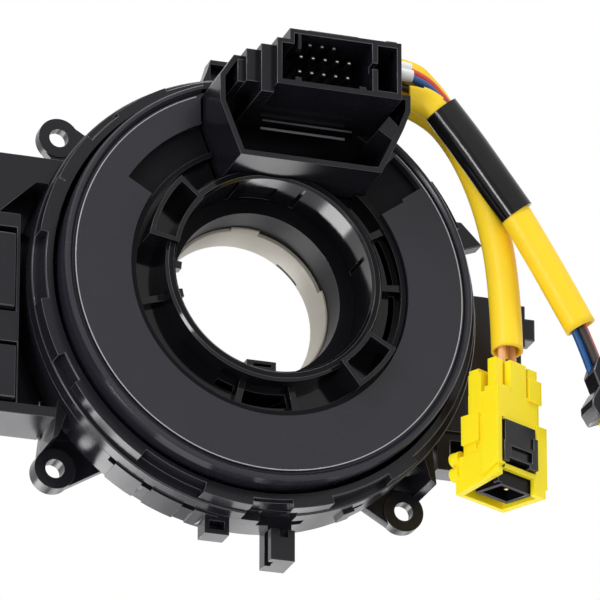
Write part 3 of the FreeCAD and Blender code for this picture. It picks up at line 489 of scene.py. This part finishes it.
LONG_Y = -7.0
LONG_ROUTE = [(26.3, LONG_Y, 41.52), (31.8, LONG_Y, 41.8), (39.6, LONG_Y, 32.6), (51.6, LONG_Y, 16.6),
              (64.0, LONG_Y, -5.1)]
SHORT_ROUTE = [(22.2, 0.2, 44.88), (33.6, 0.2, 43.2), (42.4, 0.2, 33.6), (48.4, 0.1, 18.0),
               (50.0, -1.2, 0.6), (49.7, -2.3, -10.4)]
FLAP_FOOT = [(26.3, -4.6, 42.4), (31.4, -4.4, 42.6), (35.4, -4.6, 38.4), (39.6, -5.0, 33.6)]
FLAP_TOP = [(26.3, -5.3, 49.9), (30.2, -5.3, 49.5), (33.4, -5.4, 46.4), (37.0, -5.4, 42.6),
            (40.4, -5.2, 35.6)]
SLIT_EDGE = ((20.0, 41.6), (30.6, 42.1), (33.6, 40.2), (42.0, 30.6))


def in_slit(point):
    """The stretch between the tub and the sleeve where the tube's top is cut open."""
    x = point.x / MM
    z = point.z / MM
    for (x0, z0), (x1, z1) in zip(SLIT_EDGE, SLIT_EDGE[1:]):
        if x0 <= x < x1:
            return z > z0 + (z1 - z0) * (x - x0) / (x1 - x0)
    return False


def tube_flap():
    """The back half of the slit tube, which stands up behind the red wire."""
    bm = bmesh.new()
    edges = []
    for points in (FLAP_FOOT, FLAP_TOP):
        verts = [bm.verts.new(place) for place in spline_line("flap", points)]
        for first, second in zip(verts, verts[1:]):
            edges.append(bm.edges.new((first, second)))
    bmesh.ops.bridge_loops(bm, edges=edges)
    item = piece("long_tube_flap", bm, "rotor", "yellow_tube", SOFT_ANGLE)
    item.modifiers.new("wall", "SOLIDIFY").thickness = (TUBE_R - TUBE_BORE_R) * MM
    return item


long_tube, long_line = sleeving("long_tube_sheath", LONG_ROUTE, in_slit)
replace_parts(long_tube, "long_tube")
short_tube, short_line = sleeving("short_tube_sheath", SHORT_ROUTE)
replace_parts(short_tube, "short_tube")
flap = tube_flap()
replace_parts(flap, "long_tube")

plug = dressed("switch_plug", 0.3)
plug_lock = dressed("switch_plug_lock", 0.2)
airbag_plug = dressed("airbag_plug", 0.45)

# The airbag plug is turned about its near lower corner. Its points up to RIM_HEIGHT above that
# corner are the rim of its mouth, which runs up towards the corner over a depth and a length
PLUG_TURN = math.radians(27.6)
PLUG_CORNER = (44.9, -10.5, -40.35)
PLUG_HEIGHT = 19.1
PLUG_MIDDLE = 5.0
RIM_HEIGHT = 0.4
RIM_LIFT = 2.3
RIM_DEPTH = 5.0
RIM_LENGTH = 9.0
for vertex in airbag_plug.data.vertices:
    local = Matrix.Rotation(-PLUG_TURN, 3, "Z") @ (vertex.co - at(*PLUG_CORNER)) / MM
    if local.z < RIM_HEIGHT:
        inwards = max(0.0, 1.0 - local.y / RIM_DEPTH)
        along = max(0.0, 1.0 - max(local.x, 0.0) / RIM_LENGTH)
        vertex.co.z += RIM_LIFT * MM * inwards * along

airbag_latch = dressed("airbag_plug_latch", 0.18)
airbag_insert = dressed("airbag_plug_insert", 0.12)
airbag_contact = dressed("airbag_plug_contact", 0.06)
sleeve = dressed("tape_sleeve", 0.1)
dressed("wire_retainer", 0.0)


def wire(node, points):
    """A wire from the tub to its plug."""
    slot = SLOT[node]
    item = cord_curve(node + "_lead", points, WIRE_R)
    item.data.materials.append(FINISH[slot])
    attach(item, "rotor")
    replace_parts(item, node)
    line = spline_line(node, points)


# The three wires to the switch plug run in the long tube. Each has a depth inside it and another
# over its last two points, where the dark wire comes to the front between the blue and the red one
for label, depth, end_depth, way in (
    ("red_wire", -6.9, -6.6,
     ((22.2, 47.62), (29.6, 47.0), (35.8, 40.9), (40.6, 33.6), (52.7, 17.4), (65.0, -4.3), (69.0, -15.6))),
    ("blue_wire", -8.0, -6.7,
     ((22.2, 45.46), (29.4, 45.0), (34.6, 39.9), (39.4, 32.5), (51.1, 15.9), (63.2, -5.6), (66.6, -15.6))),
    ("dark_wire", -5.75, -8.2,
     ((22.2, 44.06), (29.4, 43.6), (35.0, 39.4), (39.8, 32.3), (51.3, 16.6), (64.2, -5.0), (67.8, -15.6))),
):
    route = [(x, depth, z) for x, z in way[:-2]] + [(x, end_depth, z) for x, z in way[-2:]]
    wire(label, route)

# The two peach wires run side by side in the short tube, and end in the top of the airbag plug
for label, dx, dy, across in (("peach_wire_left", -1.3, -0.95, 5.5), ("peach_wire_right", 1.3, 0.95, 10.2)):
    end = (PLUG_CORNER[0] + across * math.cos(PLUG_TURN) - PLUG_MIDDLE * math.sin(PLUG_TURN),
           PLUG_CORNER[1] + across * math.sin(PLUG_TURN) + PLUG_MIDDLE * math.cos(PLUG_TURN),
           PLUG_CORNER[2] + PLUG_HEIGHT)
    route = [(x + dx, y + dy, z) for x, y, z in SHORT_ROUTE] + [end]
    wire(label, route)


# Small pieces of the stator and the rotor
BAR_EDGE = 0.12
# The painted highlight ring in the rotor's groove: radius, thickness, start, sweep and step in degrees
LIP_R = 40.95
LIP_THICK = 0.13
LIP_START = 113.0
LIP_SWEEP = 296.0
LIP_STEP = 1.5


def bar(name, x, y, z, body, look):
    """A block between two limits on each axis, with softened edges."""
    bm = bmesh.new()
    bmesh.ops.create_cube(bm, size=1.0)
    bmesh.ops.scale(bm, vec=Vector((x[1] - x[0], y[1] - y[0], z[1] - z[0])) * MM, verts=bm.verts)
    bmesh.ops.translate(bm, vec=at(sum(x) / 2.0, sum(y) / 2.0, sum(z) / 2.0), verts=bm.verts)
    bmesh.ops.bevel(bm, geom=bm.edges[:], offset=BAR_EDGE * MM, segments=2, profile=0.5, affect="EDGES")
    item = piece(name, bm, body, "black_satin")
    item.data.materials[0] = FINISH[look]
    return item


def groove_lip_highlight():
    """A thin light ring inside the rotor's rim, a painted highlight where the groove's lip catches the
    light, over a sweep about the bore axis.
    """
    bm = bmesh.new()
    verts = bmesh.ops.create_circle(bm, segments=8, radius=LIP_THICK * MM)["verts"]
    bmesh.ops.translate(bm, vec=(LIP_R * MM, 0.0, 0.0), verts=verts)
    bmesh.ops.rotate(bm, matrix=Matrix.Rotation(-math.radians(LIP_START), 3, "Y"), verts=verts)
    bmesh.ops.translate(bm, vec=at(0.0, 0.0, 0.0), verts=verts)
    bmesh.ops.spin(bm, geom=bm.verts[:] + bm.edges[:], cent=(0.0, 0.0, 0.0), axis=(0.0, 1.0, 0.0),
                   angle=-math.radians(LIP_SWEEP), steps=int(LIP_SWEEP / LIP_STEP), use_duplicate=False)
    bmesh.ops.recalc_face_normals(bm, faces=bm.faces)
    item = piece("disc_lip_highlight", bm, "rotor", "grey_satin", SOFT_ANGLE)
    item.data.materials[0] = FINISH["line_highlight"]
    return item


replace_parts(groove_lip_highlight(), "rotor_disc")

# Small ribs and stops round the shroud's mouth, and the moulded lines across its underside, which are
# coloured light as painted highlights
for label, x, y, z, look in (
    ("mouth_top_rib", (2.3, 13.0), (-16.8, -9.0), (47.3, 48.0), "deep_satin"),
    ("mouth_corner_stop", (18.9, 21.2), (-16.95, -15.6), (46.8, 48.0), "deep_satin"),
    ("mouth_stop_left", (-0.5, 0.8), (-16.97, -15.9), (35.9, 37.2), "deep_satin"),
    ("mouth_stop_right", (13.1, 14.6), (-16.97, -15.9), (35.9, 37.0), "deep_satin"),
    ("mouth_key", (0.1, 0.8), (-16.9, -14.6), (43.4, 46.9), "deep_satin"),
    ("shroud_line_low", (-1.6, 16.6), (2.1, 2.45), (33.6, 34.1), "line_highlight"),
    ("shroud_line_high", (-2.4, 16.8), (-1.7, -1.3), (33.7, 34.1), "gloss_edge_highlight"),
):
    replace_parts(bar(label, x, y, z, "rotor", look), "pin_shroud")

# Webs between the lower ears and the case
WEB_Y = (25.4, 27.0)
for label, x, z in (
    ("ear_web_left", (-40.5, -34.4), (-30.0, -20.4)),
    ("ear_web_right", (35.0, 39.0), (-32.2, -28.8)),
):
    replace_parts(bar(label, x, WEB_Y, z, "stator", "black_satin"), "stator_case")

# Only the tips of the pins catch the light, down in the dark socket: a low patch of bare metal on each tip,
# and the rest of each pin is dark metal as painted shade
TIP_EDGE = 0.1
TIP_HEIGHT = 0.3
pins = dressed("shroud_pins", 0.0)
pins.data.materials.append(FINISH["pin_side"])
pin_bm = bmesh.new()
pin_bm.from_mesh(pins.data)
tips = [face for face in pin_bm.faces if face.normal.y < -0.9]
for face in pin_bm.faces:
    face.material_index = 1
bmesh.ops.inset_individual(pin_bm, faces=tips, thickness=TIP_EDGE * MM)
for face in tips:
    face.material_index = 0
    middle = Matrix.Translation(-face.calc_center_median())
    bmesh.ops.scale(pin_bm, vec=(1.0, 1.0, TIP_HEIGHT), verts=face.verts, space=middle)
pin_bm.to_mesh(pins.data)
pin_bm.free()

# The hub's narrow neck is duller than its polished collar. The painted edge highlight takes the second slot
NECK_R = 18.2
hub = dressed("rotor_hub", 0.16)
hub.data.materials.append(FINISH["neck_dull"])
for face in hub.data.polygons:
    if math.hypot(face.center.x, face.center.z) < NECK_R * MM:
        face.material_index = 2

# The other CAD nodes, with how far their edges are rounded
for node, width in (
    ("rotor_disc", 0.18), ("connector_tub", 0.2), ("pin_shroud", 0.2),
    ("guide_sleeve", 0.12), ("stator_cover", 0.15), ("stator_case", 0.2), ("side_bracket", 0.35),
    ("upper_socket", 0.25), ("lower_socket", 0.25), ("right_bracket", 0.35), ("right_wedge_tab", 0.25),
    ("right_clip", 0.25), ("flat_cable", 0.0),
):
    dressed(node, width)
